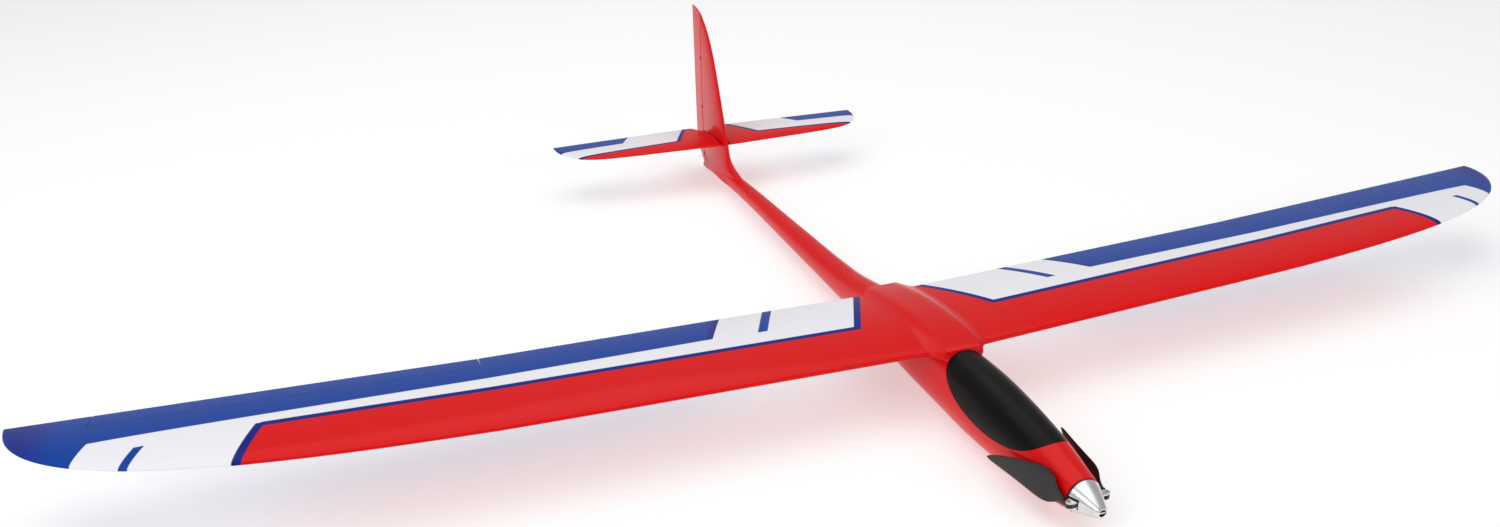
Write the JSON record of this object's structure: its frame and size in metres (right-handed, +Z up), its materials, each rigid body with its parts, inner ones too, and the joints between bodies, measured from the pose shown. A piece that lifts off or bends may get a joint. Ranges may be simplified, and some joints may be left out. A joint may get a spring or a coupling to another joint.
{
  "type": "electric glider model",
  "caption": "Electric model glider: slim pod fuselage, long tapered wing with ailerons, low all-moving tailplane, fin with rudder and a folding propeller.",
  "frame": {"origin": "under the middle of the model's length and span, on the plane that the belly rests on", "axes": "-Y towards the nose, +X towards the left wing tip, +Z up"},
  "size_m": [1.9892, 1.248, 0.2973],
  "materials": {
    "red_shell": "glossy painted glass-fibre shell",
    "wing_covering": "glossy film covering in red, white and blue",
    "blue_covering": "glossy blue film covering",
    "white_covering": "glossy white film covering with blue fields",
    "canopy_black": "satin black",
    "carbon": "satin black carbon",
    "polished_aluminium": "polished",
    "motor_metal": "satin anodised",
    "steel": "bright drawn",
    "plywood": "bare birch plywood",
    "servo_blue": "moulded, satin",
    "electronics": "heat-shrink sleeve, satin",
    "battery_wrap": "heat-shrink sleeve, glossy",
    "white_plastic": "moulded nylon",
    "black_plastic": "moulded nylon",
    "strap": "woven hook-and-loop strap",
    "tube_liner": "translucent nylon tube",
    "rotor_black": "dark magnet steel"
  },
  "bodies": {
    "fuselage": {"fuselage_shell": "red_shell", "motor_bulkhead": "plywood", "motor_case": "motor_metal", "motor_bearings": "steel", "motor_screws": "steel", "speed_controller": "electronics", "battery": "battery_wrap", "battery_strap": "strap", "equipment_tray": "plywood", "receiver": "electronics", "servo_blocks": "plywood", "rudder_servo": "servo_blue", "elevator_servo": "servo_blue", "servo_screws": "steel", "boom_formers": "plywood", "rudder_guide_tube": "tube_liner", "elevator_guide_tube": "tube_liner", "wing_joiner_tube": "tube_liner", "wing_joiner_rod": "carbon", "root_pins": "steel", "hull_magnets": "plywood", "tail_skid": "black_plastic", "rudder_hinges": "black_plastic", "wing_panel_left": "wing_covering", "wing_panel_right": "wing_covering", "root_rib_left": "plywood", "root_rib_right": "plywood", "aileron_servo_left": "servo_blue", "aileron_servo_right": "servo_blue", "servo_cover_left": "white_plastic", "servo_cover_right": "white_plastic", "rudder_hinge_pin": "steel"},
    "canopy": {"canopy": "canopy_black", "canopy_magnets": "steel"},
    "propeller": {"motor_shaft": "steel", "motor_rotor": "rotor_black", "spinner_backplate": "motor_metal", "spinner_cone": "polished_aluminium", "prop_yoke": "polished_aluminium", "blade_pins": "steel"},
    "blade_left": {"blade_left": "carbon"},
    "blade_right": {"blade_right": "carbon"},
    "rudder": {"rudder": "red_shell", "rudder_horn": "white_plastic"},
    "rudder_servo_arm": {"rudder_servo_arm": "white_plastic"},
    "rudder_pushrod": {"rudder_pushrod": "steel"},
    "tailplane": {"stabiliser_left": "white_covering", "stabiliser_right": "white_covering", "tailplane_rods": "carbon", "tailplane_lever": "motor_metal"},
    "elevator_servo_arm": {"elevator_servo_arm": "white_plastic"},
    "elevator_pushrod": {"elevator_pushrod": "steel"},
    "aileron_left": {"aileron_left": "blue_covering", "aileron_horn_left": "white_plastic"},
    "aileron_servo_arm_left": {"aileron_servo_arm_left": "white_plastic"},
    "aileron_pushrod_left": {"aileron_pushrod_left": "steel"},
    "aileron_right": {"aileron_right": "blue_covering", "aileron_horn_right": "white_plastic"},
    "aileron_servo_arm_right": {"aileron_servo_arm_right": "white_plastic"},
    "aileron_pushrod_right": {"aileron_pushrod_right": "steel"}
  },
  "joints": [
    {"name": "propeller_spin", "type": "hinge", "parent": "fuselage", "child": "propeller", "pos_m": [0, -0.6, 0.0375], "axis": [0, 1, 0], "continuous": true},
    {"name": "blade_left_fold", "type": "hinge", "parent": "propeller", "child": "blade_left", "pos_m": [0.0215, -0.6, 0.0375], "axis": [0, 0, -1], "range_deg": [0, 78]},
    {"name": "blade_right_fold", "type": "hinge", "parent": "propeller", "child": "blade_right", "pos_m": [-0.0215, -0.6, 0.0375], "axis": [0, 0, 1], "range_deg": [0, 78]},
    {"name": "canopy_lift", "type": "slide", "parent": "fuselage", "child": "canopy", "axis": [0, 0, 1], "range_m": [0, 0.07]},
    {"name": "rudder_turn", "type": "hinge", "parent": "fuselage", "child": "rudder", "pos_m": [0, 0.576, 0.12], "axis": [0, 0, 1], "range_deg": [-25, 25]},
    {"name": "rudder_servo_turn", "type": "hinge", "parent": "fuselage", "child": "rudder_servo_arm", "pos_m": [-0.004, -0.291, 0.0404], "axis": [0, 0, 1], "range_deg": [-25, 25]},
    {"name": "rudder_pushrod_pivot", "type": "hinge", "parent": "rudder_servo_arm", "child": "rudder_pushrod", "pos_m": [0.008, -0.291, 0.0404], "axis": [0, 0, 1], "range_deg": [-25, 25]},
    {"name": "tailplane_turn", "type": "hinge", "parent": "fuselage", "child": "tailplane", "pos_m": [0, 0.495, 0.08], "axis": [1, 0, 0], "range_deg": [-8, 8]},
    {"name": "elevator_servo_turn", "type": "hinge", "parent": "fuselage", "child": "elevator_servo_arm", "pos_m": [0.003, -0.331, 0.0404], "axis": [0, 0, 1], "range_deg": [-8, 8]},
    {"name": "elevator_pushrod_pivot", "type": "hinge", "parent": "elevator_servo_arm", "child": "elevator_pushrod", "pos_m": [-0.012, -0.331, 0.0404], "axis": [0, 0, 1], "range_deg": [-8, 8]},
    {"name": "aileron_left_turn", "type": "hinge", "parent": "fuselage", "child": "aileron_left", "pos_m": [0.523, -0.198, 0.08969], "axis": [0.9992, 0, 0.0388], "range_deg": [-20, 20]},
    {"name": "aileron_servo_left_turn", "type": "hinge", "parent": "fuselage", "child": "aileron_servo_arm_left", "pos_m": [0.7, -0.25, 0.09657], "axis": [0.9992, 0, 0.0388], "range_deg": [-20, 20]},
    {"name": "aileron_pushrod_left_pivot", "type": "hinge", "parent": "aileron_servo_arm_left", "child": "aileron_pushrod_left", "pos_m": [0.7005, -0.25, 0.08358], "axis": [0.9992, 0, 0.0388], "range_deg": [-20, 20]},
    {"name": "aileron_right_turn", "type": "hinge", "parent": "fuselage", "child": "aileron_right", "pos_m": [-0.523, -0.198, 0.08969], "axis": [0.9992, 0, -0.0388], "range_deg": [-20, 20]},
    {"name": "aileron_servo_right_turn", "type": "hinge", "parent": "fuselage", "child": "aileron_servo_arm_right", "pos_m": [-0.7, -0.25, 0.09657], "axis": [0.9992, 0, -0.0388], "range_deg": [-20, 20]},
    {"name": "aileron_pushrod_right_pivot", "type": "hinge", "parent": "aileron_servo_arm_right", "child": "aileron_pushrod_right", "pos_m": [-0.7005, -0.25, 0.08358], "axis": [0.9992, 0, -0.0388], "range_deg": [-20, 20]}
  ],
  "couplings": [
    {"joint": "rudder_servo_turn", "follows": "rudder_turn", "ratio": 1},
    {"joint": "rudder_pushrod_pivot", "follows": "rudder_turn", "ratio": -1},
    {"joint": "elevator_servo_turn", "follows": "tailplane_turn", "ratio": -1},
    {"joint": "elevator_pushrod_pivot", "follows": "tailplane_turn", "ratio": 1},
    {"joint": "aileron_servo_left_turn", "follows": "aileron_left_turn", "ratio": 1},
    {"joint": "aileron_pushrod_left_pivot", "follows": "aileron_left_turn", "ratio": -1},
    {"joint": "aileron_servo_right_turn", "follows": "aileron_right_turn", "ratio": 1},
    {"joint": "aileron_pushrod_right_pivot", "follows": "aileron_right_turn", "ratio": -1}
  ]
}
